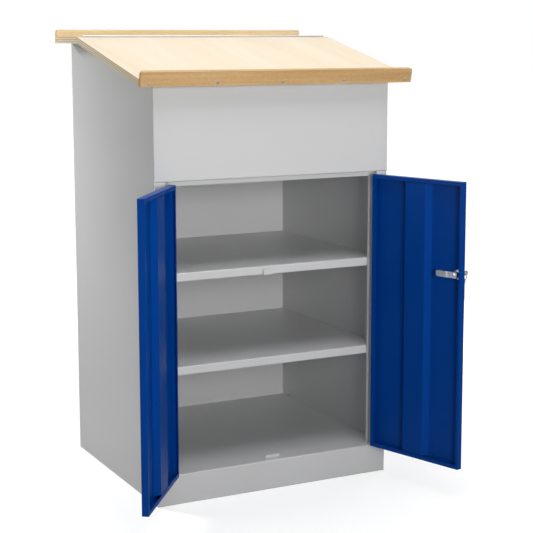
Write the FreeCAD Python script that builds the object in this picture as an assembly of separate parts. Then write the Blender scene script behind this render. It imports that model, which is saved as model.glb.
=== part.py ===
import FreeCAD, Part
import math
import os

# Industrial pedestal desk: a folded steel cupboard with two doors and two shelves,
# a closed compartment over it, and a sloping plywood lid hinged to a level ledge.
# Millimetres, X to the right, Y to the back, Z up, origin on the floor under the middle
# of the carcass. The doors stand open at their rest angles.

V = FreeCAD.Vector
half_share = 0.5
overrun = 40.0
seam_gap = 0.2

# Carcass
carcass_width = 700.0
carcass_depth = 625.0
sheet = 1.2
bend_radius = 2.0
plinth_height = 82.0
head_height = 866.0
rear_flange = 25.0
top_flange = 20.0
foot_flange = 20.0
corner_run = 8.0

# Door frame folds
jamb_width = 32.5
rebate_depth = 20.0
stop_width = 13.5
jamb_lip = 6.0
head_stop_drop = 13.5
head_stop_end_gap = 0.6

# Compartment floor and base pan
tray_wall = 15.0
pan_rear_upturn = 15.0
pan_side_upturn = 16.0
pan_side_start = 40.0
pan_side_rear_gap = 25.0
fixing_height = 8.0
fixing_front = 80.0
fixing_rear_gap = 51.0
fixing_stud_radius = 2.5
fixing_hole_gap = 0.2
fixing_head_radius = 4.5
fixing_head_height = 2.6
fixing_sides = 8

# Shelves
shelf_sheet = 1.0
shelf_front = 27.0
shelf_flange = 23.5
shelf_return = 12.0
shelf_rear_flange = 15.0
shelf_end_gap = 0.6
upper_shelf_height = 620.8
lower_shelf_height = 367.8
support_leg = 18.0
support_drop = 20.0
support_start = 45.0
support_rear_gap = 65.0

# Door stop and lock keeper
floor_stop_width = 42.0
floor_stop_height = 9.0
floor_stop_foot = 16.0
keeper_width = 28.0
keeper_offset = -13.0
keeper_height = 17.5
keeper_door_gap = 0.8
keeper_foot = 20.0

# Desk top
top_width = 800.0
board_thickness = 17.5
ridge_height = 1236.5
ridge_depth_share = 0.6832
slope_degrees = 12.9
board_length = 470.0
lid_rest_gap = 0.4
rail_height = 39.5
rail_thickness = 12.5
rail_corner_radius = 8.0
rail_edge_chamfer = 1.5
ledge_rear_inset = 4.0
rail_screw_end = 23.0
rail_screw_count = 5
rail_screw_radius = 1.8
rail_screw_head_radius = 3.8
rail_screw_head_height = 1.1
screw_head_sides = 8
screw_shank_sides = 6
rail_screw_length = 38.0
screw_hole_gap = 0.15
ledge_screw_front = 40.0
ledge_screw_rear_gap = 68.0
ledge_screw_side = 12.0
ledge_screw_length = 14.0

# Lid hinge
hinge_length = 770.0
hinge_knuckles = 5
hinge_leaf = 0.8
hinge_leaf_gap = 0.8
hinge_radius = 2.4
hinge_knuckle_sides = 12
hinge_rise = 2.6
hinge_pin_radius = 1.2
hinge_pin_gap = 0.05
hinge_knuckle_gap = 0.4
hinge_leaf_drop = 13.0
hinge_leaf_clear = 0.35
hinge_screw_count = 5
hinge_screw_radius = 1.2
hinge_screw_head_radius = 2.6
hinge_screw_length = 12.0
hinge_screw_inset = 0.2

# Doors
door_sheet = 1.0
door_bend = 1.2
door_thickness = 18.0
door_side_gap = 2.5
door_meeting_gap = 3.0
door_floor_gap = 2.5
door_head_gap = 6.0
door_hinge_lip = 11.0
door_free_lip = 8.0
door_end_lip = 11.0
left_rest_degrees = 127.0
right_rest_degrees = 107.0
stiffener_start = 107.0
stiffener_web_run = 13.0
stiffener_crown = 68.0
stiffener_foot = 10.0
stiffener_depth = 15.0
stiffener_end_gap = 12.5

# Door hinges
pivot_side = 33.75
pivot_front = 5.5
barrel_radius = 5.0
barrel_length = 30.0
barrel_gap = 0.4
barrel_tab = 11.0
barrel_tab_thickness = 2.5
barrel_inset = 110.0
door_pin_radius = 2.8
door_pin_seat = 0.02
door_pin_gap = 0.06
door_pin_short = 2.0

# Lock
lock_edge = 19.5
lock_height = 613.0
lock_radius = 9.0
lock_hole_gap = 0.1
lock_head_radius = 11.0
lock_head_depth = 5.5
lock_head_chamfer = 1.0
lock_tail = 2.0
lock_nut_width = 24.0
lock_nut_thickness = 5.0
plug_radius = 6.0
plug_gap = 0.06
plug_recess = 0.2
plug_tail_width = 6.4
plug_tail_gap = 0.1
cam_gap = 0.5
cam_sheet = 2.0
cam_width = 16.0
cam_hub = 8.0
cam_bend_start = 21.0
cam_bend_run = 4.0
cam_crank = 2.0
cam_length = 59.0
cam_bend_radius = 1.0
cam_tip_radius = 5.0
cam_screw_radius = 2.0
cam_screw_length = 8.0
cam_screw_head_radius = 5.0
cam_screw_head_height = 2.2

# Keys
key_thickness = 2.2
key_blade_width = 7.0
key_blade_length = 15.0
key_slot_gap = 0.15
key_neck_radius = 2.2
key_bow_sides = 12
key_neck_length = 17.5
key_bow_radius = 7.0
key_bow_hole_radius = 2.2
key_bow_hole_set = 3.4
key_bow_lap = 1.0
key_shoulder_gap = 0.3
ring_radius = 10.0
ring_wire_radius = 0.8
ring_sides = 24
ring_play = 0.3
ring_set = 14.5
spare_blade_length = 44.0

front = -carcass_depth * half_share
left = -carcass_width * half_share
slope = math.radians(slope_degrees)
ridge_depth = carcass_depth * ridge_depth_share
ridge_y = front + ridge_depth
ledge_under = ridge_height - board_thickness
wall = sheet + seam_gap
inner_half = carcass_width * half_share - wall
back_face = carcass_depth - wall
jamb_total = jamb_width + stop_width
door_bottom = plinth_height + door_floor_gap
door_top = head_height - door_head_gap
door_start = jamb_width + door_side_gap
door_end = (carcass_width - door_meeting_gap) * half_share


def lid_seat(depth):
    """Height of the slope on which the lid rests, at a depth from the front."""
    fall = (ridge_depth - depth) * math.tan(slope)
    return ridge_height - fall - board_thickness / math.cos(slope) - lid_rest_gap


def block(x0, x1, y0, y1, z0, z1):
    """Plain block between two corners."""
    return Part.makeBox(x1 - x0, y1 - y0, z1 - z0, V(x0, y0, z0))


def rod(radius, start, end):
    """Round bar from one point to another."""
    way = end - start
    return Part.makeCylinder(radius, way.Length, start, way)


def prism(points, sweep):
    """Straight-sided outline pushed along a vector."""
    return Part.Face(Part.makePolygon(points + points[:1])).extrude(sweep)


def flat_sided(radius, start, end, sides):
    """Bar with flat sides from one point to another, its corners on a radius."""
    way = end - start
    aside = V(0, 0, 1) if abs(way.z) < way.Length * half_share else V(1, 0, 0)
    u = way.cross(aside).normalize()
    v = way.cross(u).normalize()
    turns = [2 * math.pi * n / sides for n in range(sides)]
    points = [start + u * radius * math.cos(t) + v * radius * math.sin(t) for t in turns]
    return prism(points, way)


def screw_head(radius, start, end, sides):
    """Flat-sided screw head, its outer rim cut back by half its height."""
    head = flat_sided(radius, start, end, sides)
    way = end - start
    rim = [e for e in head.Edges if all((p.Point - start).dot(way) > way.dot(way) * half_share for p in e.Vertexes)]
    return head.makeChamfer(way.Length * half_share, rim)


def mirrored(shape):
    """The same piece on the other side of the desk."""
    return shape.mirror(V(0, 0, 0), V(1, 0, 0))


def group(solids):
    """Separate solids kept in one node."""
    return Part.makeCompound(solids)


def left_of(way):
    """Unit normal on the left of a direction."""
    return V(-way.y, way.x, 0)


def folded_sheet(path, thickness, radius, place, sweep):
    """Sheet on the left of a path, bent round each inner point, pushed along a vector."""
    points = [V(a, b, 0) for a, b in path]
    ways = [(q - p).normalize() for p, q in zip(points, points[1:])]
    near_at = points[0]
    far_at = points[0] + left_of(ways[0]) * thickness
    edges = [Part.makeLine(place(near_at), place(far_at))]
    for corner, before, after in zip(points[1:], ways, ways[1:]):
        turn = math.atan2(before.x * after.y - before.y * after.x, before.dot(after))
        inward = math.copysign(1, turn)
        near_radius = radius + thickness if turn > 0 else radius
        far_radius = radius if turn > 0 else radius + thickness
        cut = near_radius * math.tan(abs(turn) * half_share)
        start = corner - before * cut
        end = corner + after * cut
        middle = start + left_of(before) * near_radius * inward
        outward = (corner - middle).normalize()
        for at, edge_radius, shift in ((near_at, near_radius, 0), (far_at, far_radius, thickness)):
            first = start + left_of(before) * shift
            last = end + left_of(after) * shift
            edges.append(Part.makeLine(place(at), place(first)))
            arc = Part.Arc(place(first), place(middle + outward * edge_radius), place(last))
            edges.append(arc.toShape())
        near_at = end
        far_at = end + left_of(after) * thickness
    last_far = points[-1] + left_of(ways[-1]) * thickness
    edges.append(Part.makeLine(place(near_at), place(points[-1])))
    edges.append(Part.makeLine(place(far_at), place(last_far)))
    edges.append(Part.makeLine(place(points[-1]), place(last_far)))
    return Part.Face(Part.Wire(Part.__sortEdges__(edges))).extrude(sweep)


def cross_section(x):
    """Place a profile of depth and height on an upright plane at one X."""
    return lambda p: V(x, front + p.x, p.y)


def plan(z):
    """Place a profile of left side distance and depth on a level plane."""
    return lambda p: V(left + p.x, front + p.y, z)


def across(path, thickness, half_length):
    """Folded profile of depth and height, pushed along X and centred."""
    return folded_sheet(path, thickness, bend_radius, cross_section(-half_length), V(2 * half_length, 0, 0))


# Left side panel with its jamb folded in, a rear flange, a foot and top flanges.
# The jamb steps back behind the closed door and carries the strip that stops it.
def side_panel():
    path = [(0, 0), (0, carcass_depth), (rear_flange, carcass_depth)]
    path.reverse()
    panel = folded_sheet(path, sheet, bend_radius, plan(0), V(0, 0, ledge_under))
    low = V(left - overrun, front - overrun, lid_seat(-overrun))
    high = V(left - overrun, ridge_y, lid_seat(ridge_depth))
    rise = V(0, 0, carcass_depth)
    panel = panel.cut(prism([low, high, high + rise, low + rise], V(carcass_width, 0, 0)))
    jamb_low = plinth_height + seam_gap
    jamb_high = head_height - seam_gap
    corner = block(left - overrun, left + overrun, front - overrun, front + corner_run, jamb_low, jamb_high)
    jamb_path = [
        (0, corner_run),
        (0, 0),
        (jamb_width, 0),
        (jamb_width, rebate_depth),
        (jamb_total, rebate_depth),
        (jamb_total, rebate_depth + jamb_lip),
    ]
    jamb = folded_sheet(jamb_path, sheet, bend_radius, plan(jamb_low), V(0, 0, jamb_high - jamb_low))
    panel = panel.cut(corner).fuse(jamb)
    flange_start = top_flange + sheet
    seat_low = V(left, front + flange_start, lid_seat(flange_start))
    seat_high = V(left, ridge_y, lid_seat(ridge_depth))
    down = V(0, 0, -sheet / math.cos(slope))
    seat = prism([seat_low, seat_high, seat_high + down, seat_low + down], V(top_flange, 0, 0))
    flange_end = front + carcass_depth - rear_flange - sheet
    ledge_seat = block(left, left + top_flange, ridge_y - sheet, flange_end, ledge_under - sheet, ledge_under)
    ledge_lip = block(left, left + top_flange, ridge_y - overrun, ridge_y, ledge_under - overrun, ledge_under)
    seat_front = ledge_seat.cut(ledge_lip)
    foot_front = front + rear_flange
    foot = block(left, left + foot_flange, foot_front, flange_end, 0, sheet)
    panel = panel.fuse([seat, seat_front, foot])
    for screw in ledge_screw_places():
        hole = rail_screw_radius + screw_hole_gap
        low = screw - V(0, 0, overrun)
        panel = panel.cut(flat_sided(hole, low, screw + V(0, 0, overrun), screw_shank_sides))
    return panel.removeSplitter()


def ledge_screw_places():
    """Points on the left ledge flange where screws come up from below."""
    first = V(left + ledge_screw_side, ridge_y + ledge_screw_front, ledge_under)
    last = V(first.x, front + carcass_depth - ledge_screw_rear_gap, ledge_under)
    return [first, last]


left_side_panel = side_panel()
right_side_panel = mirrored(left_side_panel)

# Back panel, folded forward at the foot and under the ledge.
back_path = [
    (back_face - top_flange, 0),
    (back_face, 0),
    (back_face, ledge_under),
    (back_face - top_flange, ledge_under),
]
back_panel = across(back_path, sheet, inner_half - bend_radius)

# Front fascia: sloped top flange, face, head return and the drop that stops the doors.
fascia_path = [
    (top_flange, lid_seat(top_flange)),
    (0, lid_seat(0)),
    (0, head_height),
    (rebate_depth, head_height),
    (rebate_depth, head_height - head_stop_drop),
]
front_fascia = across(fascia_path, sheet, inner_half)
stop_end = left + jamb_total + head_stop_end_gap
stop_low = head_height - head_stop_drop - overrun
stop_trim = block(left, stop_end, front - overrun, front + overrun, stop_low, head_height)
front_fascia = front_fascia.cut([stop_trim, mirrored(stop_trim)])
tray_floor = head_height + sheet + seam_gap
return_low = tray_floor + tray_wall + seam_gap
return_high = lid_seat(0) - top_flange
end_return = block(
    left + wall,
    left + wall + sheet,
    front + sheet * half_share,
    front + top_flange,
    return_low,
    return_high,
)
front_fascia = front_fascia.fuse([end_return, mirrored(end_return)]).removeSplitter()

# Compartment floor: a shallow tray that is also the cupboard's ceiling.
tray_front = front + sheet + bend_radius
tray_back = front + back_face - sheet - seam_gap
tray_body = block(-inner_half, inner_half, tray_front, tray_back, tray_floor, tray_floor + tray_wall)
tray_room = block(
    -inner_half + sheet,
    inner_half - sheet,
    tray_front + sheet,
    tray_back - sheet,
    tray_floor + sheet,
    tray_floor + tray_wall + overrun,
)
compartment_floor = tray_body.cut(tray_room)

# Base pan: cupboard floor and plinth front in one sheet, with upturns at the back and sides.
pan_back = back_face - sheet - seam_gap - sheet
pan_path = [
    (pan_back, plinth_height + pan_rear_upturn),
    (pan_back, plinth_height),
    (0, plinth_height),
    (0, 0),
    (foot_flange, 0),
]
base_pan = across(pan_path, sheet, inner_half)
pan_side = block(
    left + wall,
    left + wall + sheet,
    front + pan_side_start,
    front + carcass_depth - pan_side_rear_gap,
    plinth_height - sheet * half_share,
    plinth_height + pan_side_upturn,
)
base_pan = base_pan.fuse([pan_side, mirrored(pan_side)]).removeSplitter()
base_fixings = []
for set_back in (fixing_front, carcass_depth - fixing_rear_gap):
    stud_start = V(left + sheet, front + set_back, plinth_height + fixing_height)
    head_start = V(left + wall + sheet, stud_start.y, stud_start.z)
    head_end = head_start + V(fixing_head_height, 0, 0)
    head = screw_head(fixing_head_radius, head_start, head_end, fixing_sides)
    stud = flat_sided(fixing_stud_radius, stud_start, head_start, fixing_sides)
    fixing = stud.fuse(head).removeSplitter()
    hole = flat_sided(fixing_stud_radius + fixing_hole_gap, stud_start, head_start, fixing_sides)
    base_pan = base_pan.cut([hole, mirrored(hole)])
    base_fixings += [fixing, mirrored(fixing)]


# A shelf is one sheet with a deep front flange turned under; angles on the walls carry it.
def shelf(height):
    path = [
        (pan_back, height - shelf_rear_flange),
        (pan_back, height),
        (shelf_front, height),
        (shelf_front, height - shelf_flange),
        (shelf_front + shelf_return, height - shelf_flange),
    ]
    return across(path, shelf_sheet, carcass_width * half_share - sheet - shelf_end_gap)


def shelf_support(height):
    seat = height - shelf_sheet
    x = left + sheet
    y0 = front + support_start
    y1 = front + carcass_depth - support_rear_gap
    leg = block(x, x + support_leg, y0, y1, seat - sheet, seat)
    return leg.fuse(block(x, x + sheet, y0, y1, seat - support_drop, seat)).removeSplitter()


upper_shelf = shelf(upper_shelf_height)
lower_shelf = shelf(lower_shelf_height)
supports = [shelf_support(upper_shelf_height), shelf_support(lower_shelf_height)]
supports += [mirrored(support) for support in supports]

# Stop for both doors on the cupboard floor, and the lock's keeper under the upper shelf.
floor_stop_path = [
    (rebate_depth, plinth_height + floor_stop_height),
    (rebate_depth, plinth_height),
    (rebate_depth + floor_stop_foot, plinth_height),
]
floor_stop = across(floor_stop_path, sheet, floor_stop_width * half_share)
keeper_front = door_thickness + keeper_door_gap
keeper_low = upper_shelf_height - shelf_flange - sheet
keeper_path = [
    (keeper_front, keeper_low + keeper_height),
    (keeper_front, keeper_low),
    (keeper_front + keeper_foot, keeper_low),
]
lock_keeper = across(keeper_path, sheet, keeper_width * half_share)
lock_keeper.translate(V(keeper_offset, 0, 0))


# Wooden rails: a bar with rounded upper corners and softened edges, lying along X.
def rail_bar():
    half = top_width * half_share
    tall = rail_height
    r = rail_corner_radius
    side = r * math.sin(math.pi / 4)
    arcs = []
    for hand in (-1, 1):
        first = V(hand * half, 0, tall - r)
        middle = V(hand * (half - r + side), 0, tall - r + side)
        arcs.append(Part.Arc(first, middle, V(hand * (half - r), 0, tall)).toShape())
    lines = [
        Part.makeLine(V(-half, 0, tall - r), V(-half, 0, 0)),
        Part.makeLine(V(-half, 0, 0), V(half, 0, 0)),
        Part.makeLine(V(half, 0, 0), V(half, 0, tall - r)),
        Part.makeLine(V(half - r, 0, tall), V(r - half, 0, tall)),
    ]
    outline = Part.Wire(Part.__sortEdges__(arcs + lines))
    bar = Part.Face(outline).extrude(V(0, rail_thickness, 0))
    soft = [edge for edge in bar.Edges if edge.BoundBox.YLength < seam_gap and edge.BoundBox.ZMax > seam_gap]
    return bar.makeChamfer(rail_edge_chamfer, soft)


def rail_screw_places():
    """Distances from the middle at which a rail is screwed to its board."""
    reach = top_width * half_share - rail_screw_end
    step = 2 * reach / (rail_screw_count - 1)
    return [n * step - reach for n in range(rail_screw_count)]


def rail_screw(x, way):
    """Pan-headed screw through a rail at half the board's thickness, driven along Y."""
    start = V(x, 0, board_thickness * half_share)
    tip = start + V(0, way * rail_screw_length, 0)
    head_end = start - V(0, way * rail_screw_head_height, 0)
    head = screw_head(rail_screw_head_radius, start, head_end, screw_head_sides)
    return head.fuse(flat_sided(rail_screw_radius, start, tip, screw_shank_sides))


def rail_screw_hole(x, way):
    """Hole for a rail's screw, a little wider and longer than its shank."""
    start = V(x, 0, board_thickness * half_share)
    depth = rail_screw_length + screw_hole_gap
    side = rail_screw_radius + screw_hole_gap
    mouth = start - V(0, way * seam_gap, 0)
    return flat_sided(side, mouth, start + V(0, way * depth, 0), screw_shank_sides)


# Level rear ledge with its rail on the rear edge, screwed from behind.
board_edge = hinge_leaf_gap * half_share + hinge_leaf
ledge_back = front + carcass_depth - ledge_rear_inset
top_half = top_width * half_share
rear_ledge = block(-top_half, top_half, ridge_y + board_edge, ledge_back - rail_thickness, ledge_under, ridge_height)
rear_rail = rail_bar()
rear_shift = V(0, ledge_back - rail_thickness, ledge_under)
rear_screw_shift = V(0, ledge_back, ledge_under)
rear_rail.translate(rear_shift)
rear_rail_screws = []
for x in rail_screw_places():
    screw = rail_screw(x, -1)
    hole = rail_screw_hole(x, -1)
    screw.translate(rear_screw_shift)
    hole.translate(rear_screw_shift)
    rear_rail_screws.append(screw.removeSplitter())
    rear_rail = rear_rail.cut(hole)
    rear_ledge = rear_ledge.cut(hole)

# Screws from under the side panels' flanges into the ledge.
ledge_screws = []
for place in ledge_screw_places():
    low = place - V(0, 0, sheet)
    head_end = low - V(0, 0, rail_screw_head_height)
    head = flat_sided(rail_screw_head_radius, low, head_end, screw_head_sides)
    tip = place + V(0, 0, ledge_screw_length)
    screw = head.fuse(flat_sided(rail_screw_radius, low, tip, screw_shank_sides)).removeSplitter()
    hole_top = tip + V(0, 0, screw_hole_gap)
    hole = flat_sided(rail_screw_radius + screw_hole_gap, place, hole_top, screw_shank_sides)
    rear_ledge = rear_ledge.cut([hole, mirrored(hole)])
    ledge_screws += [screw, mirrored(screw)]

# Writing board, made level from the ridge forward and then tilted to its slope.
# Its rear edge is cut upright, so that it closes against the ledge with the hinge between.
tilt_at = V(0, ridge_y, ridge_height)
tilt_axis = V(1, 0, 0)
board_front = ridge_y - board_length
writing_board = block(-top_half, top_half, board_front, ridge_y + overrun, ledge_under, ridge_height)
front_rail = rail_bar()
front_rail_shift = V(0, board_front - rail_thickness, ledge_under)
front_rail.translate(front_rail_shift)
front_rail_screws = []
for x in rail_screw_places():
    screw = rail_screw(x, 1)
    hole = rail_screw_hole(x, 1)
    screw.translate(front_rail_shift)
    hole.translate(front_rail_shift)
    screw.rotate(tilt_at, tilt_axis, slope_degrees)
    front_rail_screws.append(screw.removeSplitter())
    front_rail = front_rail.cut(hole)
    writing_board = writing_board.cut(hole)
writing_board.rotate(tilt_at, tilt_axis, slope_degrees)
front_rail.rotate(tilt_at, tilt_axis, slope_degrees)
rear_waste = block(
    -top_half - overrun,
    top_half + overrun,
    ridge_y - board_edge,
    ridge_y + 2 * overrun,
    ledge_under - overrun,
    ridge_height + overrun,
)
writing_board = writing_board.cut(rear_waste)

# Long lid hinge: leaves on the two facing board edges, knuckles in turn along the pin.
hinge_axis_height = ridge_height + hinge_rise
knuckle_pitch = hinge_length / hinge_knuckles
hinge_half = hinge_length * half_share
leaf_top = hinge_axis_height - hinge_radius - hinge_leaf_clear
leaf_middle = leaf_top - hinge_leaf_drop * half_share


def hinge_leaf_half(way, first):
    """One leaf with every second knuckle; way is the side of the ridge it lies on."""
    inner = ridge_y + way * hinge_leaf_gap * half_share
    outer = ridge_y + way * board_edge
    y0 = min(inner, outer)
    y1 = max(inner, outer)
    leaf = block(-hinge_half, hinge_half, y0, y1, leaf_top - hinge_leaf_drop, leaf_top)
    knuckles = []
    for n in range(first, hinge_knuckles, 2):
        start = n * knuckle_pitch - hinge_half + hinge_knuckle_gap * half_share
        end = start + knuckle_pitch - hinge_knuckle_gap
        at = V(start, ridge_y, hinge_axis_height)
        to = V(end, ridge_y, hinge_axis_height)
        knuckles.append(flat_sided(hinge_radius, at, to, hinge_knuckle_sides))
        knuckles.append(block(start, end, y0, y1, leaf_top - hinge_leaf, hinge_axis_height))
    bore_end = V(hinge_half + overrun, ridge_y, hinge_axis_height)
    bore_start = V(-hinge_half - overrun, ridge_y, hinge_axis_height)
    return leaf.fuse(knuckles).cut(rod(hinge_pin_radius + hinge_pin_gap, bore_start, bore_end)).removeSplitter()


def hinge_screw_places():
    """Distances from the middle of the leaf's screws, at the middles of even steps."""
    step = hinge_length / hinge_screw_count
    return [(n + half_share) * step - hinge_half for n in range(hinge_screw_count)]


def hinge_screw(x, way):
    """Flat-headed screw sunk in a leaf and driven into the board's edge."""
    face = V(x, ridge_y + way * (hinge_leaf_gap * half_share + hinge_screw_inset), leaf_middle)
    seat = V(x, ridge_y + way * board_edge, leaf_middle)
    end = seat + V(0, way * hinge_screw_length, 0)
    head = flat_sided(hinge_screw_head_radius, face, seat, screw_head_sides)
    return head.fuse(flat_sided(hinge_screw_radius, face, end, screw_shank_sides))


def hinge_screw_holes(x, way):
    """Head hole in the leaf and shank hole in the board."""
    middle = V(x, ridge_y, leaf_middle)
    seat = V(x, ridge_y + way * board_edge, leaf_middle)
    end = seat + V(0, way * (hinge_screw_length + screw_hole_gap), 0)
    head_hole = flat_sided(hinge_screw_head_radius + screw_hole_gap, middle, seat, screw_head_sides)
    return head_hole, flat_sided(hinge_screw_radius + screw_hole_gap, seat, end, screw_shank_sides)


lid_hinge_fixed_leaf = hinge_leaf_half(1, 0)
lid_hinge_moving_leaf = hinge_leaf_half(-1, 1)
pin_end = V(hinge_half, ridge_y, hinge_axis_height)
lid_hinge_pin = rod(hinge_pin_radius, V(-hinge_half, ridge_y, hinge_axis_height), pin_end)
fixed_screws = []
moving_screws = []
for x in hinge_screw_places():
    head_hole, shank_hole = hinge_screw_holes(x, 1)
    lid_hinge_fixed_leaf = lid_hinge_fixed_leaf.cut(head_hole)
    rear_ledge = rear_ledge.cut(shank_hole)
    fixed_screws.append(hinge_screw(x, 1).removeSplitter())
    head_hole, shank_hole = hinge_screw_holes(x, -1)
    lid_hinge_moving_leaf = lid_hinge_moving_leaf.cut(head_hole)
    writing_board = writing_board.cut(shank_hole)
    moving_screws.append(hinge_screw(x, -1).removeSplitter())


# Doors, made closed on the left side and mirrored for the right one.
# A pan of sheet with its edges turned in all round, stiffened by one hat-shaped strip.
def soft_box(x0, x1, y0, y1, z0, z1, radius):
    """Block with its upright edges rounded."""
    box = block(x0, x1, y0, y1, z0, z1)
    upright = [edge for edge in box.Edges if edge.BoundBox.ZLength > (z1 - z0) * half_share]
    return box.makeFillet(radius, upright)


def door_pan():
    x0 = left + door_start
    x1 = left + door_end
    y1 = front + door_thickness
    s = door_sheet
    outside = soft_box(x0, x1, front, y1, door_bottom, door_top, door_bend + s)
    inside = soft_box(x0 + s, x1 - s, front + s, y1 - s, door_bottom + s, door_top - s, door_bend)
    window = block(
        x0 + door_hinge_lip,
        x1 - door_free_lip,
        y1 - 2 * s,
        y1 + overrun,
        door_bottom + door_end_lip,
        door_top - door_end_lip,
    )
    return outside.cut([inside, window])


def door_stiffener():
    base = door_sheet
    crown = base + stiffener_depth
    web = door_start + stiffener_start
    path = [
        (web - stiffener_foot, base),
        (web, base),
        (web + stiffener_web_run, crown),
        (web + stiffener_web_run + stiffener_crown, crown),
        (web + stiffener_web_run * 2 + stiffener_crown, base),
        (web + stiffener_web_run * 2 + stiffener_crown + stiffener_foot, base),
    ]
    low = door_bottom + stiffener_end_gap
    tall = V(0, 0, door_top - stiffener_end_gap - low)
    return folded_sheet(path, door_sheet, door_bend, plan(low), tall)


# Welded barrel hinges in front of the jamb: lower half on the frame, upper half on the door.
pivot_x = left + pivot_side
pivot_y = front - pivot_front
barrel_heights = (door_bottom + barrel_inset, door_top - barrel_inset)


def barrel(height, way, bore):
    """Half hinge on one side of a height; way is up for the door and down for the frame."""
    near = height + way * barrel_gap * half_share
    far = near + way * barrel_length
    z0 = min(near, far)
    z1 = max(near, far)
    round_part = rod(barrel_radius, V(pivot_x, pivot_y, z0), V(pivot_x, pivot_y, z1))
    reach = pivot_x + way * barrel_tab
    tab = block(min(pivot_x, reach), max(pivot_x, reach), front - barrel_tab_thickness, front, z0, z1)
    hole = rod(bore, V(pivot_x, pivot_y, z0 - overrun), V(pivot_x, pivot_y, z1 + overrun))
    return round_part.fuse(tab).cut(hole).removeSplitter()


def hinge_pin(height):
    """Pin fixed in the frame half and running in the door half."""
    low = height - barrel_gap * half_share - barrel_length
    high = height + barrel_gap * half_share + barrel_length - door_pin_short
    return rod(door_pin_radius, V(pivot_x, pivot_y, low), V(pivot_x, pivot_y, high))


frame_barrels = group([barrel(z, -1, door_pin_radius + door_pin_seat) for z in barrel_heights])
door_barrels = group([barrel(z, 1, door_pin_radius + door_pin_gap) for z in barrel_heights])
hinge_pins = group([hinge_pin(z) for z in barrel_heights])
left_pan = door_pan()
left_strip = door_stiffener()
right_pan = mirrored(left_pan)
right_strip = mirrored(left_strip)
right_door_barrels = mirrored(door_barrels)

# Cam lock near the right door's free edge; its plug, cam, screw and key turn together.
lock_x = -left - door_end + lock_edge


def on_lock(depth, rise):
    """Point over or under the lock's axis at a depth from the door's outer face."""
    return V(lock_x, front + depth, lock_height + rise)


lock_end = door_thickness + lock_tail
head = rod(lock_head_radius, on_lock(-lock_head_depth, 0), on_lock(0, 0))
head_rim = [e for e in head.Edges if e.Closed and e.BoundBox.YMax < front - lock_head_depth * half_share]
head = head.makeChamfer(lock_head_chamfer, head_rim)
lock_barrel = rod(lock_radius, on_lock(0, 0), on_lock(lock_end, 0))
plug_bore = rod(plug_radius + plug_gap, on_lock(-overrun, 0), on_lock(overrun, 0))
lock_housing = head.fuse(lock_barrel).cut(plug_bore).removeSplitter()
right_pan = right_pan.cut(rod(lock_radius + lock_hole_gap, on_lock(-overrun, 0), on_lock(door_sheet * 2, 0)))
nut_corner = lock_nut_width * half_share / math.cos(math.pi / 6)
nut_points = []
for n in range(6):
    turn = n * math.pi / 3 + math.pi / 2
    nut_points.append(on_lock(door_sheet, 0) + V(nut_corner * math.cos(turn), 0, nut_corner * math.sin(turn)))
lock_nut = prism(nut_points, V(0, lock_nut_thickness, 0))
lock_nut = lock_nut.cut(rod(lock_radius + lock_hole_gap, on_lock(-overrun, 0), on_lock(overrun, 0)))

cam_face = lock_end + cam_gap
plug_front = plug_recess - lock_head_depth
lock_plug = rod(plug_radius, on_lock(plug_front, 0), on_lock(lock_end, 0))


def square_on_lock(width, start, end):
    """Square bar round the lock's axis between two depths."""
    side = width * half_share
    low = lock_height - side
    return block(lock_x - side, lock_x + side, front + start, front + end, low, low + width)


lock_plug = lock_plug.fuse(square_on_lock(plug_tail_width, lock_end, cam_face + cam_sheet))
screw_bore = flat_sided(
    cam_screw_radius + screw_hole_gap,
    on_lock(cam_face + cam_sheet - cam_screw_length - screw_hole_gap, 0),
    on_lock(overrun, 0),
    screw_shank_sides,
)
slot_side = key_thickness * half_share + key_slot_gap
slot_rise = key_blade_width * half_share + key_slot_gap
slot_end = plug_front + key_blade_length + key_slot_gap
key_slot = block(
    lock_x - slot_side,
    lock_x + slot_side,
    front + plug_front - overrun,
    front + slot_end,
    lock_height - slot_rise,
    lock_height + slot_rise,
)
lock_plug = lock_plug.cut([screw_bore, key_slot]).removeSplitter()

cam_path = [
    (cam_length, cam_face + cam_crank),
    (cam_bend_start + cam_bend_run, cam_face + cam_crank),
    (cam_bend_start, cam_face),
    (-cam_hub, cam_face),
]
cam_path.reverse()
cam_low = lock_height - cam_width * half_share
cam_place = lambda p: V(lock_x + p.x, front + p.y, cam_low)
lock_cam = folded_sheet(cam_path, cam_sheet, cam_bend_radius, cam_place, V(0, 0, cam_width))
cam_tip = [
    e
    for e in lock_cam.Edges
    if e.BoundBox.YLength > cam_sheet * half_share
    and e.BoundBox.XLength < seam_gap
    and e.BoundBox.ZLength < seam_gap
    and e.BoundBox.XMin > lock_x + cam_length - seam_gap
]
lock_cam = lock_cam.makeFillet(cam_tip_radius, cam_tip)
lock_cam = lock_cam.cut(square_on_lock(plug_tail_width + 2 * plug_tail_gap, 0, overrun))
screw_seat = on_lock(cam_face + cam_sheet, 0)
cam_screw = screw_head(
    cam_screw_head_radius,
    screw_seat,
    screw_seat + V(0, cam_screw_head_height, 0),
    screw_head_sides,
)
shank = flat_sided(cam_screw_radius, screw_seat - V(0, cam_screw_length, 0), screw_seat, screw_shank_sides)
cam_screw = cam_screw.fuse(shank).removeSplitter()

# Key in the lock, stamped from plate: blade in the plug, narrow neck, and a bow.
neck_start = plug_front - key_shoulder_gap
bow_at = neck_start - key_neck_length - key_bow_radius + key_bow_lap
half_key = key_thickness * half_share


def key_bow(depth, rise):
    """Many-sided plate of a key's thickness, square to the door and upright."""
    middle = on_lock(depth, rise)
    return flat_sided(key_bow_radius, middle - V(half_key, 0, 0), middle + V(half_key, 0, 0), key_bow_sides)


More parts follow.
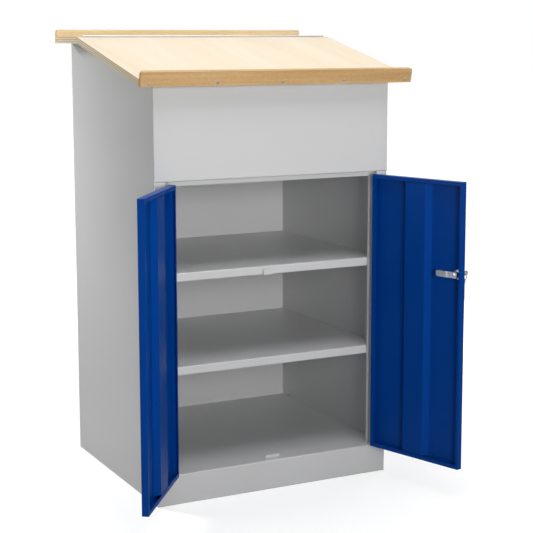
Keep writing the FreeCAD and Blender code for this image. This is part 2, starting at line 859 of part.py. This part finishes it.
def key_hole(depth, rise):
    """Round hole through a bow for the ring."""
    middle = on_lock(depth, rise)
    return rod(key_bow_hole_radius, middle - V(half_key, 0, 0), middle + V(half_key, 0, 0))


key_blade = block(
    lock_x - half_key,
    lock_x + half_key,
    front + neck_start,
    front + plug_front + key_blade_length,
    lock_height - key_blade_width * half_share,
    lock_height + key_blade_width * half_share,
)
neck_rise = math.sqrt(key_neck_radius ** 2 - half_key ** 2)
key_neck = block(
    lock_x - half_key,
    lock_x + half_key,
    front + bow_at,
    front + neck_start,
    lock_height - neck_rise,
    lock_height + neck_rise,
)
key = key_bow(bow_at, 0).fuse([key_blade, key_neck])
key = key.cut(key_hole(bow_at - key_bow_hole_set, 0)).removeSplitter()

# Ring of flat wire on the key's neck, and the spare key that hangs from it.
ring_depth = neck_start - ring_set
ring_top = key_neck_radius + ring_play + ring_wire_radius
ring_middle = ring_top - ring_radius
ring_start = on_lock(ring_depth - ring_wire_radius, ring_middle)
ring_end = on_lock(ring_depth + ring_wire_radius, ring_middle)
ring_room = flat_sided(ring_radius - ring_wire_radius, ring_start, ring_end, ring_sides)
key_ring = flat_sided(ring_radius + ring_wire_radius, ring_start, ring_end, ring_sides).cut(ring_room)
spare_hole = ring_middle - ring_radius - key_bow_hole_radius + ring_wire_radius + ring_play
spare_bow = spare_hole - key_bow_hole_set
spare_end = spare_bow - key_bow_radius - spare_blade_length
spare_blade = block(
    lock_x - half_key,
    lock_x + half_key,
    front + ring_depth - key_blade_width * half_share,
    front + ring_depth + key_blade_width * half_share,
    lock_height + spare_end,
    lock_height + spare_bow,
)
spare_key = key_bow(ring_depth, spare_bow).fuse(spare_blade)
spare_key = spare_key.cut(key_hole(ring_depth, spare_hole)).removeSplitter()

# Everything on a door turns with it from closed to its rest angle.
left_axis = V(pivot_x, pivot_y, 0)
right_axis = V(-pivot_x, pivot_y, 0)
for piece in (left_pan, left_strip, door_barrels):
    piece.rotate(left_axis, V(0, 0, 1), -left_rest_degrees)
right_pieces = [right_pan, right_strip, right_door_barrels, lock_housing, lock_nut, lock_plug]
right_pieces += [lock_cam, cam_screw, key, key_ring, spare_key]
for piece in right_pieces:
    piece.rotate(right_axis, V(0, 0, 1), right_rest_degrees)

nodes = {
    "left_side_panel": left_side_panel,
    "right_side_panel": right_side_panel,
    "back_panel": back_panel,
    "front_fascia": front_fascia,
    "compartment_floor": compartment_floor,
    "base_pan": base_pan,
    "base_fixings": group(base_fixings),
    "upper_shelf": upper_shelf,
    "lower_shelf": lower_shelf,
    "shelf_supports": group(supports),
    "floor_stop": floor_stop,
    "lock_keeper": lock_keeper,
    "rear_ledge": rear_ledge,
    "rear_rail": rear_rail,
    "rear_rail_screws": group(rear_rail_screws),
    "ledge_screws": group(ledge_screws),
    "lid_hinge_fixed_leaf": lid_hinge_fixed_leaf,
    "lid_hinge_fixed_screws": group(fixed_screws),
    "lid_hinge_pin": lid_hinge_pin,
    "writing_board": writing_board,
    "front_rail": front_rail,
    "front_rail_screws": group(front_rail_screws),
    "lid_hinge_moving_leaf": lid_hinge_moving_leaf,
    "lid_hinge_moving_screws": group(moving_screws),
    "left_hinge_frame_barrels": frame_barrels,
    "left_hinge_pins": hinge_pins,
    "right_hinge_frame_barrels": mirrored(frame_barrels),
    "right_hinge_pins": mirrored(hinge_pins),
    "left_door_pan": left_pan,
    "left_door_stiffener": left_strip,
    "left_hinge_door_barrels": door_barrels,
    "right_door_pan": right_pan,
    "right_door_stiffener": right_strip,
    "right_hinge_door_barrels": right_door_barrels,
    "lock_housing": lock_housing,
    "lock_nut": lock_nut,
    "lock_plug": lock_plug,
    "lock_cam": lock_cam,
    "cam_screw": cam_screw,
    "key": key,
    "key_ring": key_ring,
    "spare_key": spare_key,
}
os.makedirs("parts", exist_ok=True)
for name, shape in nodes.items():
    shape.exportStep("parts/" + name + ".step")
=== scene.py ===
import math

import bmesh
import bpy
import numpy as np
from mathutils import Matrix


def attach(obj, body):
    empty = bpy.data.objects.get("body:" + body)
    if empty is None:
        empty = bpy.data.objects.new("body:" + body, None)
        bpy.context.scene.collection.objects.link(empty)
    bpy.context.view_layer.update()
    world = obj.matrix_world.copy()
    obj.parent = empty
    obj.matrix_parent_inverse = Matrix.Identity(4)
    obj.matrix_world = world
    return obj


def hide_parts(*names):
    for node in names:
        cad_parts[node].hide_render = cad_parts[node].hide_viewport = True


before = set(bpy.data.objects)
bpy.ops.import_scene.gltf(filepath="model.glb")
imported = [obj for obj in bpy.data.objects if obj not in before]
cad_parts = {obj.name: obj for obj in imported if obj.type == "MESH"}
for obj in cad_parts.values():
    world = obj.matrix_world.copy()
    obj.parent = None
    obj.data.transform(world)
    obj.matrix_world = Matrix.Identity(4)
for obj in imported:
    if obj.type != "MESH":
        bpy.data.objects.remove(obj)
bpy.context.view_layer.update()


# Carcass: two folded side panels, back, fascia, base pan and compartment floor.
# Cold-rolled steel sheet, folded, spot welded, then powder coated light grey.
# The coat is an even satin skin with a fine orange peel and a faint drift of tone.
def linear(colour):
    """A hex sRGB colour as linear RGBA: c/12.92, or ((c+0.055)/1.055)^2.4."""
    parts = np.array([int(colour[i:i + 2], 16) for i in (1, 3, 5)]) / 255.0
    rgb = np.where(parts <= 0.04045, parts / 12.92, ((parts + 0.055) / 1.055) ** 2.4)
    return (*rgb.tolist(), 1.0)


def per_metre(*sizes):
    """How often a pattern comes in a metre, for sizes in millimetres along X, Y and Z."""
    return tuple(1000.0 / size for size in sizes)


def add(tree, kind, links=None, values=None, **settings):
    """Add one node: its settings, its socket values and its incoming links."""
    node = tree.nodes.new(kind)
    for name, value in settings.items():
        setattr(node, name, value)
    for name, value in (values or {}).items():
        node.inputs[name].default_value = value
    for name, socket in (links or {}).items():
        tree.links.new(socket, node.inputs[name])
    return node


def material(name):
    """A new material with an empty tree; returns it, its tree and its coordinates."""
    made = bpy.data.materials.new(name)
    made.use_nodes = True
    made.node_tree.nodes.clear()
    place = add(made.node_tree, "ShaderNodeTexCoord")
    return made, made.node_tree, place


def surface(tree, shader):
    """Join a shader to a new material output."""
    add(tree, "ShaderNodeOutputMaterial", {"Surface": shader.outputs[0]})


def dress(made, *names):
    """Give CAD nodes a material in place of their plain slot."""
    for name in names:
        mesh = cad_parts[name].data
        mesh.materials.clear()
        mesh.materials.append(made)


def powder_coat(name, pale, deep, roughness, shine):
    """Polyester powder coat on steel, IOR 1.5: the tone drifts over 400 mm, and the melted
    powder leaves an orange peel 3 mm across."""
    drift_size, peel_size, peel_depth, gloss_drift = 400.0, 3.0, 0.0004, 0.04
    made, tree, place = material(name)
    drift = add(tree, "ShaderNodeTexNoise", {"Vector": place.outputs["Object"]},
                {"Scale": per_metre(drift_size)[0], "Detail": 2.0})
    tone = add(tree, "ShaderNodeMix", {"Factor": drift.outputs["Fac"]},
               {"A": linear(deep), "B": linear(pale)}, data_type="RGBA")
    peel = add(tree, "ShaderNodeTexNoise", {"Vector": place.outputs["Object"]},
               {"Scale": per_metre(peel_size)[0], "Detail": 1.0})
    skin = add(tree, "ShaderNodeBump", {"Height": peel.outputs["Fac"]},
               {"Strength": 0.12, "Distance": peel_depth})
    gloss = add(tree, "ShaderNodeMapRange", {"Value": drift.outputs["Fac"]},
                {"To Min": roughness - gloss_drift, "To Max": roughness + gloss_drift})
    coat = add(tree, "ShaderNodeBsdfPrincipled",
               {"Base Color": tone.outputs["Result"], "Normal": skin.outputs["Normal"],
                "Roughness": gloss.outputs["Result"]},
               {"IOR": 1.5, "Specular IOR Level": shine})
    surface(tree, coat)
    return made


grey_coat = powder_coat("grey_powder_coat", "#cccccc", "#c6c6c6", 0.32, 0.5)
dress(grey_coat, "left_side_panel", "right_side_panel", "back_panel", "front_fascia",
      "compartment_floor", "base_pan")


# Shelves, their angle supports, the floor stop and the lock keeper.
# Folded from the same sheet, welded in and coated in one pass with the carcass.
dress(grey_coat, "upper_shelf", "lower_shelf", "shelf_supports", "floor_stop",
      "lock_keeper")


# Base fixings: four pan-head screws through the base pan's turned-up sides into the side
# panels, heads inside the cupboard. Cold-headed steel wire, bright zinc plated, which
# gives a light metal with a slightly clouded shine.
def metal(name, pale, deep, roughness, grain):
    """Bare or plated metal, with marks of the given sizes in millimetres, which are a
    quarter duller or shinier than the rest."""
    shiniest, dullest = 0.75 * roughness, 1.25 * roughness
    made, tree, place = material(name)
    marks = add(tree, "ShaderNodeMapping", {"Vector": place.outputs["Object"]},
                {"Scale": per_metre(*grain)})
    cloud = add(tree, "ShaderNodeTexNoise", {"Vector": marks.outputs["Vector"]},
                {"Scale": 1.0, "Detail": 3.0})
    tone = add(tree, "ShaderNodeMix", {"Factor": cloud.outputs["Fac"]},
               {"A": linear(deep), "B": linear(pale)}, data_type="RGBA")
    gloss = add(tree, "ShaderNodeMapRange", {"Value": cloud.outputs["Fac"]},
                {"To Min": shiniest, "To Max": dullest})
    plate = add(tree, "ShaderNodeBsdfPrincipled",
                {"Base Color": tone.outputs["Result"], "Roughness": gloss.outputs["Result"]},
                {"Metallic": 1.0})
    surface(tree, plate)
    return made


zinc = metal("zinc_plated_steel", "#e2e4e6", "#c8cbce", 0.37, (1.1, 1.1, 1.1))


def cross_heads(name, places, outward, radius, height, node, body):
    """Pan heads with a cross recess. With r from 0 to 1 and t once round, each head's own
    frame has x = R r cos t, y = R r sin t and z = h (1 - 0.6 r^4 - 0.55 c), where c is 1
    in the cross and falls to 0 at its sides and ends; a skirt and a base close the head."""
    rings, turns, edge_fall, recess = 25, 72, 0.6, 0.55
    half_arm, arm_slope, reach, reach_slope = 0.16, 0.06, 0.62, 0.08
    places, out = np.array(places), np.array(outward)
    out = out / np.linalg.norm(out, axis=1, keepdims=True)
    side = np.cross(out, (0.0, 0.0, 1.0))
    side /= np.linalg.norm(side, axis=1, keepdims=True)
    up = np.cross(out, side)
    r, t = np.meshgrid(np.linspace(0.0, 1.0, rings),
                       np.arange(turns) * (2.0 * math.pi / turns), indexing="ij")
    x, y = r * np.cos(t), r * np.sin(t)
    arm = np.clip((half_arm - np.minimum(abs(x), abs(y))) / arm_slope, 0.0, 1.0)
    cross = arm * np.clip((reach - r) / reach_slope, 0.0, 1.0)
    z = height * (1.0 - edge_fall * r ** 4 - recess * cross)
    x = radius * np.concatenate([x, x[-1:], x[:1]])
    y = radius * np.concatenate([y, y[-1:], y[:1]])
    z = np.concatenate([z, 0.0 * z[:1], 0.0 * z[:1]])
    points = (places[:, None, None] + x[..., None] * side[:, None, None]
              + y[..., None] * up[:, None, None] + z[..., None] * out[:, None, None])
    rows = len(x)
    i, j = np.meshgrid(np.arange(rows - 1), np.arange(turns), indexing="ij")
    k = (j + 1) % turns
    quads = np.stack([i * turns + j, (i + 1) * turns + j,
                      (i + 1) * turns + k, i * turns + k], -1).reshape(1, -1, 4)
    quads = quads + (np.arange(len(places)) * rows * turns)[:, None, None]
    mesh = bpy.data.meshes.new(name)
    mesh.from_pydata(points.reshape(-1, 3).tolist(), [], quads.reshape(-1, 4).tolist())
    merged = bmesh.new()
    merged.from_mesh(mesh)
    bmesh.ops.remove_doubles(merged, verts=merged.verts, dist=1e-7)
    bmesh.ops.recalc_face_normals(merged, faces=merged.faces)
    merged.to_mesh(mesh)
    merged.free()
    mesh.shade_smooth()
    mesh.materials.append(zinc)
    piece = bpy.data.objects.new(name, mesh)
    bpy.context.scene.collection.objects.link(piece)
    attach(piece, body)
    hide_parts(node)
    return piece


pan_side_x, front_fixing_y, rear_fixing_y, fixing_z = 0.3474, -0.2325, 0.2615, 0.090
fixing_head_radius, fixing_head_height = 0.0045, 0.0026
fixings = [(side, y) for side in (-1.0, 1.0) for y in (front_fixing_y, rear_fixing_y)]
cross_heads("base_fixing_heads", [(side * pan_side_x, y, fixing_z) for side, y in fixings],
            [(-side, 0.0, 0.0) for side, y in fixings], fixing_head_radius,
            fixing_head_height, "base_fixings", "cabinet")


# Rear ledge: fixed strip of the desk top, veneered birch plywood, sawn square.
# The face veneer's figure runs front to back, and the sawn edge shows the plies, which
# are drawn 2.9 mm thick, about twice the real ones, so that they show from a distance.
def plywood(name, tilt, pale, deep, edge_pale, edge_deep):
    """Birch plywood lying at a tilt about X: streaks 70 mm wide and fine 2.4 mm lines along
    the slope on its faces, and light and dark plies in turn on its edges."""
    ply, dark_to, light_from = 0.0029, 0.0009, 0.0019
    streak, line = (70.0, 900.0, 70.0), (2.4, 110.0, 2.4)
    line_share, least_upright = 0.35, 0.7
    made, tree, place = material(name)
    lie = add(tree, "ShaderNodeMapping", {"Vector": place.outputs["Object"]},
              {"Rotation": (-tilt, 0.0, 0.0)})
    wide = add(tree, "ShaderNodeMapping", {"Vector": lie.outputs["Vector"]},
               {"Scale": per_metre(*streak)})
    figure = add(tree, "ShaderNodeTexNoise", {"Vector": wide.outputs["Vector"]},
                 {"Scale": 1.0, "Detail": 3.0, "Distortion": 0.4})
    fine = add(tree, "ShaderNodeMapping", {"Vector": lie.outputs["Vector"]},
               {"Scale": per_metre(*line)})
    pores = add(tree, "ShaderNodeTexNoise", {"Vector": fine.outputs["Vector"]},
                {"Scale": 1.0, "Detail": 2.0})
    both = add(tree, "ShaderNodeMath", {0: pores.outputs["Fac"], 2: figure.outputs["Fac"]},
               {1: line_share}, operation="MULTIPLY_ADD")
    spread = add(tree, "ShaderNodeMapRange", {"Value": both.outputs["Value"]},
                 {"From Min": 0.45, "From Max": 0.9})
    face = add(tree, "ShaderNodeMix", {"Factor": spread.outputs["Result"]},
               {"A": linear(deep), "B": linear(pale)}, data_type="RGBA")
    height = add(tree, "ShaderNodeSeparateXYZ", {"Vector": lie.outputs["Vector"]})
    plies = add(tree, "ShaderNodeMath", {0: height.outputs["Z"]}, {1: ply},
                operation="PINGPONG")
    band = add(tree, "ShaderNodeMapRange", {"Value": plies.outputs["Value"]},
               {"From Min": dark_to, "From Max": light_from})
    edge = add(tree, "ShaderNodeMix", {"Factor": band.outputs["Result"]},
               {"A": linear(edge_deep), "B": linear(edge_pale)}, data_type="RGBA")
    up = add(tree, "ShaderNodeVectorMath", {0: place.outputs["Normal"]},
             {1: (0.0, -math.sin(tilt), math.cos(tilt))}, operation="DOT_PRODUCT")
    flat = add(tree, "ShaderNodeMath", {0: up.outputs["Value"]}, operation="ABSOLUTE")
    on_face = add(tree, "ShaderNodeMath", {0: flat.outputs["Value"]}, {1: least_upright},
                  operation="GREATER_THAN")
    shown = add(tree, "ShaderNodeMix", {"Factor": on_face.outputs["Value"],
                                        "A": edge.outputs["Result"],
                                        "B": face.outputs["Result"]}, data_type="RGBA")
    relief = add(tree, "ShaderNodeBump", {"Height": pores.outputs["Fac"]},
                 {"Strength": 0.08, "Distance": 0.0003})
    wood = add(tree, "ShaderNodeBsdfPrincipled",
               {"Base Color": shown.outputs["Result"], "Normal": relief.outputs["Normal"]},
               {"Roughness": 0.6, "IOR": 1.45, "Specular IOR Level": 0.25})
    surface(tree, wood)
    return made


veneer_pale, veneer_deep, ply_pale, ply_deep = "#f5e8d3", "#efddc2", "#f5ead2", "#d2bc95"
ledge_ply = plywood("birch_plywood_ledge", 0.0, veneer_pale, veneer_deep, ply_pale, ply_deep)
dress(ledge_ply, "rear_ledge")


# Rear rail: beech strip along the back of the ledge, planed, corners rounded, lacquered.
# The grain runs along the strip, with the short dark flecks of beech.
def beech(name, pale, deep):
    """Lacquered beech, IOR 1.5, grain along X: soft bands 14 mm wide and flecks 9 mm long
    and 1.4 mm wide."""
    band, fleck = (385.0, 14.0, 14.0), (9.0, 1.4, 1.4)
    made, tree, place = material(name)
    wide = add(tree, "ShaderNodeMapping", {"Vector": place.outputs["Object"]},
               {"Scale": per_metre(*band)})
    bands = add(tree, "ShaderNodeTexNoise", {"Vector": wide.outputs["Vector"]},
                {"Scale": 1.0, "Detail": 4.0, "Distortion": 0.6})
    short = add(tree, "ShaderNodeMapping", {"Vector": place.outputs["Object"]},
                {"Scale": per_metre(*fleck)})
    flecks = add(tree, "ShaderNodeTexNoise", {"Vector": short.outputs["Vector"]},
                 {"Scale": 1.0, "Detail": 1.0})
    dark = add(tree, "ShaderNodeMapRange", {"Value": flecks.outputs["Fac"]},
               {"From Min": 0.28, "From Max": 0.5, "To Min": 0.55, "To Max": 1.0})
    mixed = add(tree, "ShaderNodeMath", {0: bands.outputs["Fac"], 1: dark.outputs["Result"]},
                operation="MULTIPLY")
    spread = add(tree, "ShaderNodeMapRange", {"Value": mixed.outputs["Value"]},
                 {"From Min": 0.25, "From Max": 0.65})
    tone = add(tree, "ShaderNodeMix", {"Factor": spread.outputs["Result"]},
               {"A": linear(deep), "B": linear(pale)}, data_type="RGBA")
    relief = add(tree, "ShaderNodeBump", {"Height": bands.outputs["Fac"]},
                 {"Strength": 0.05, "Distance": 0.0004})
    wood = add(tree, "ShaderNodeBsdfPrincipled",
               {"Base Color": tone.outputs["Result"], "Normal": relief.outputs["Normal"]},
               {"Roughness": 0.45, "IOR": 1.5, "Specular IOR Level": 0.3})
    surface(tree, wood)
    return made


pale_beech = beech("pale_lacquered_beech", "#e0c9a1", "#d0b78d")
dress(pale_beech, "rear_rail")


# Rear rail screws: five pan heads with a cross recess, driven from behind.
# Cold-headed steel wire, zinc plated; the ledge screws under the flanges are the same kind.
rail_screw_x = np.linspace(-0.377, 0.377, 5)
rail_head_radius, rail_head_height = 0.0038, 0.0011
rear_rail_y, rear_rail_z = 0.3085, 1.22775
cross_heads("rear_rail_screw_heads", [(x, rear_rail_y, rear_rail_z) for x in rail_screw_x],
            [(0.0, 1.0, 0.0)] * len(rail_screw_x), rail_head_radius, rail_head_height,
            "rear_rail_screws", "cabinet")
dress(zinc, "ledge_screws")


# Lid hinge: long rolled steel leaves on one pin along the ridge, with its sunk screws.
# Bright drawn steel, lightly brushed along its length.
bright_steel = metal("bright_drawn_steel", "#d8d9da", "#c0c2c4", 0.42, (83.0, 0.67, 0.67))
dress(bright_steel, "lid_hinge_fixed_leaf", "lid_hinge_moving_leaf", "lid_hinge_pin")
dress(zinc, "lid_hinge_fixed_screws", "lid_hinge_moving_screws")


# Writing board: the lifting lid, birch plywood sloping to the front at 12.9 degrees.
# Pale, nearly white face veneer with wide soft streaks from front to back.
board_slope = math.radians(12.9)
board_ply = plywood("birch_plywood_board", board_slope, veneer_pale, veneer_deep,
                    ply_pale, ply_deep)
dress(board_ply, "writing_board")


# Front rail: beech pencil stop screwed to the board's front edge, a darker strip.
# Planed, rounded and lacquered as the rear rail is.
dark_beech = beech("lacquered_beech", "#d2ac7c", "#b8925f")
dress(dark_beech, "front_rail")


# Front rail screws: the same five screws, driven from the front, square to the rail,
# which leans with the board. Zinc plated steel.
rail_front = (0.0, -math.cos(board_slope), -math.sin(board_slope))
front_rail_y, front_rail_z = -0.35387, 1.12025
cross_heads("front_rail_screw_heads",
            [(x, front_rail_y, front_rail_z) for x in rail_screw_x],
            [rail_front] * len(rail_screw_x), rail_head_radius, rail_head_height,
            "front_rail_screws", "lid")


# Doors: shallow folded pans with a spot-welded hat stiffener inside, powder coated blue.
# The hinge barrels are turned steel, welded on and coated with their panel.
blue_coat = powder_coat("blue_powder_coat", "#003f90", "#003985", 0.34, 0.08)
dress(blue_coat, "left_door_pan", "left_door_stiffener", "left_hinge_door_barrels",
      "right_door_pan", "right_door_stiffener", "right_hinge_door_barrels")
dress(grey_coat, "left_hinge_frame_barrels", "right_hinge_frame_barrels")
dress(zinc, "left_hinge_pins", "right_hinge_pins")


# Cam lock on the right door: die-cast housing and turning plug, chrome plated, so that
# they mirror the room with a soft edge. The nut and the cam behind are stamped steel,
# zinc plated, and a pan-head screw holds the cam on the plug's square tail.
chrome = metal("chrome_plated_die_casting", "#dcdddf", "#cfd1d3", 0.14, (3.3, 3.3, 3.3))
dress(chrome, "lock_housing", "lock_plug")
dress(zinc, "lock_nut", "lock_cam")
cam_face, door_inward = (0.375795, -0.608535, 0.613), (-0.956305, -0.292372, 0.0)
cam_head_radius, cam_head_height = 0.005, 0.0022
cross_heads("cam_screw_head", [cam_face], [door_inward], cam_head_radius, cam_head_height,
            "cam_screw", "lock")


# Keys: two stamped keys of bright steel, one in the lock and one on its ring.
# The ring is a closed loop of flat spring wire round the first key's neck.
dress(bright_steel, "key", "spare_key")
dress(chrome, "key_ring")


# Floor: one pale painted sheet under the object, which keeps the contact shadow.
# Seen by the camera it is lifted to white, less near the object, where the lamps reach it,
# and more far off, where they do not.
grit_size, near_to, far_from, near_lift, far_lift = 170.0, 0.5, 2.0, 0.6, 1.0
floor_paint, tree, place = material("studio_floor")
grit = add(tree, "ShaderNodeTexNoise", {"Vector": place.outputs["Object"]},
           {"Scale": per_metre(grit_size)[0]})
tone = add(tree, "ShaderNodeMix", {"Factor": grit.outputs["Fac"]},
           {"A": linear("#b4b4b4"), "B": linear("#bababa")}, data_type="RGBA")
matt = add(tree, "ShaderNodeBsdfDiffuse", {"Color": tone.outputs["Result"]})
far = add(tree, "ShaderNodeVectorMath", {0: place.outputs["Object"]}, operation="LENGTH")
lift = add(tree, "ShaderNodeMapRange", {"Value": far.outputs["Value"]},
           {"From Min": near_to, "From Max": far_from,
            "To Min": near_lift, "To Max": far_lift})
glow = add(tree, "ShaderNodeEmission", {"Strength": lift.outputs["Result"]})
lifted = add(tree, "ShaderNodeAddShader", {0: matt.outputs[0], 1: glow.outputs[0]})
ray = add(tree, "ShaderNodeLightPath")
shown = add(tree, "ShaderNodeMixShader", {0: ray.outputs["Is Camera Ray"],
                                          1: matt.outputs[0], 2: lifted.outputs[0]})
surface(tree, shown)
reach = 30.0
mesh = bpy.data.meshes.new("floor")
mesh.from_pydata([(-reach, -reach, 0.0), (reach, -reach, 0.0), (reach, reach, 0.0),
                  (-reach, reach, 0.0)], [], [(0, 1, 2, 3)])
mesh.materials.append(floor_paint)
floor = bpy.data.objects.new("floor", mesh)
bpy.context.scene.collection.objects.link(floor)


# Light: an even dim room that metal sees as white, and soft lamps round the object.
# The key and side lamps have narrow beams, so that the plinth and the top of the side fall
# off. The rim lamp gives only glints on folds, and of the others only overhead is mirrored.
world = bpy.data.worlds.new("room")
world.use_nodes = True
tree = world.node_tree
tree.nodes.clear()
white, dim_strength, seen_strength = linear("#ffffff"), 0.22, 1.0
ray = add(tree, "ShaderNodeLightPath")
dim = add(tree, "ShaderNodeBackground", values={"Color": white, "Strength": dim_strength})
seen = add(tree, "ShaderNodeBackground", values={"Color": white, "Strength": seen_strength})
mirrored = add(tree, "ShaderNodeMixShader", {0: ray.outputs["Is Glossy Ray"],
                                             1: dim.outputs[0], 2: seen.outputs[0]})
room = add(tree, "ShaderNodeMixShader", {0: ray.outputs["Is Camera Ray"],
                                         1: mirrored.outputs[0], 2: seen.outputs[0]})
add(tree, "ShaderNodeOutputWorld", {"Surface": room.outputs[0]})
bpy.context.scene.world = world
for name, spot, aim, power, width, spread in (
        ("key", (-0.7, -4.1, 1.2), (0.0, 0.0, 0.98), 12.8, 1.1, 64.0),
        ("side", (-1.45, 1.7, 1.7), (-0.35, 0.2, 0.56), 6.0, 0.6, 54.0),
        ("far_side", (2.4, 0.9, 0.9), (0.35, 0.0, 0.65), 26.0, 1.0, 180.0),
        ("back", (0.7, 3.4, 1.6), (0.0, 0.3, 0.8), 12.0, 1.5, 180.0),
        ("rim", (-2.6, -0.5, 1.0), (-0.35, -0.31, 0.8), 60.0, 1.0, 180.0),
        ("overhead", (0.1, -0.95, 3.2), (0.0, -0.25, 1.0), 45.0, 2.0, 180.0)):
    lamp = bpy.data.lights.new(name, "AREA")
    lamp.energy, lamp.size, lamp.spread = power, width, math.radians(spread)
    lit = bpy.data.objects.new(name, lamp)
    lit.location = spot
    way = np.array(aim) - np.array(spot)
    lit.rotation_euler = (math.atan2(math.hypot(way[0], way[1]), -way[2]), 0.0,
                          math.atan2(-way[0], way[1]))
    lit.visible_glossy = name in ("rim", "overhead")
    lit.visible_diffuse = name != "rim"
    bpy.context.scene.collection.objects.link(lit)


# Camera: a long lens at eye height, fitted to the photo's straight lines and corners.
eye = bpy.data.cameras.new("camera")
eye.lens, eye.sensor_width, eye.shift_y = 91.872, 36.0, -0.05
camera = bpy.data.objects.new("camera", eye)
camera.location = (-1.66753, -3.53260, 1.22768)
camera.rotation_euler = (math.radians(81.641), math.radians(0.114), math.radians(-27.008))
bpy.context.scene.collection.objects.link(camera)
bpy.context.scene.camera = camera
bpy.context.scene.view_settings.view_transform = "Standard"
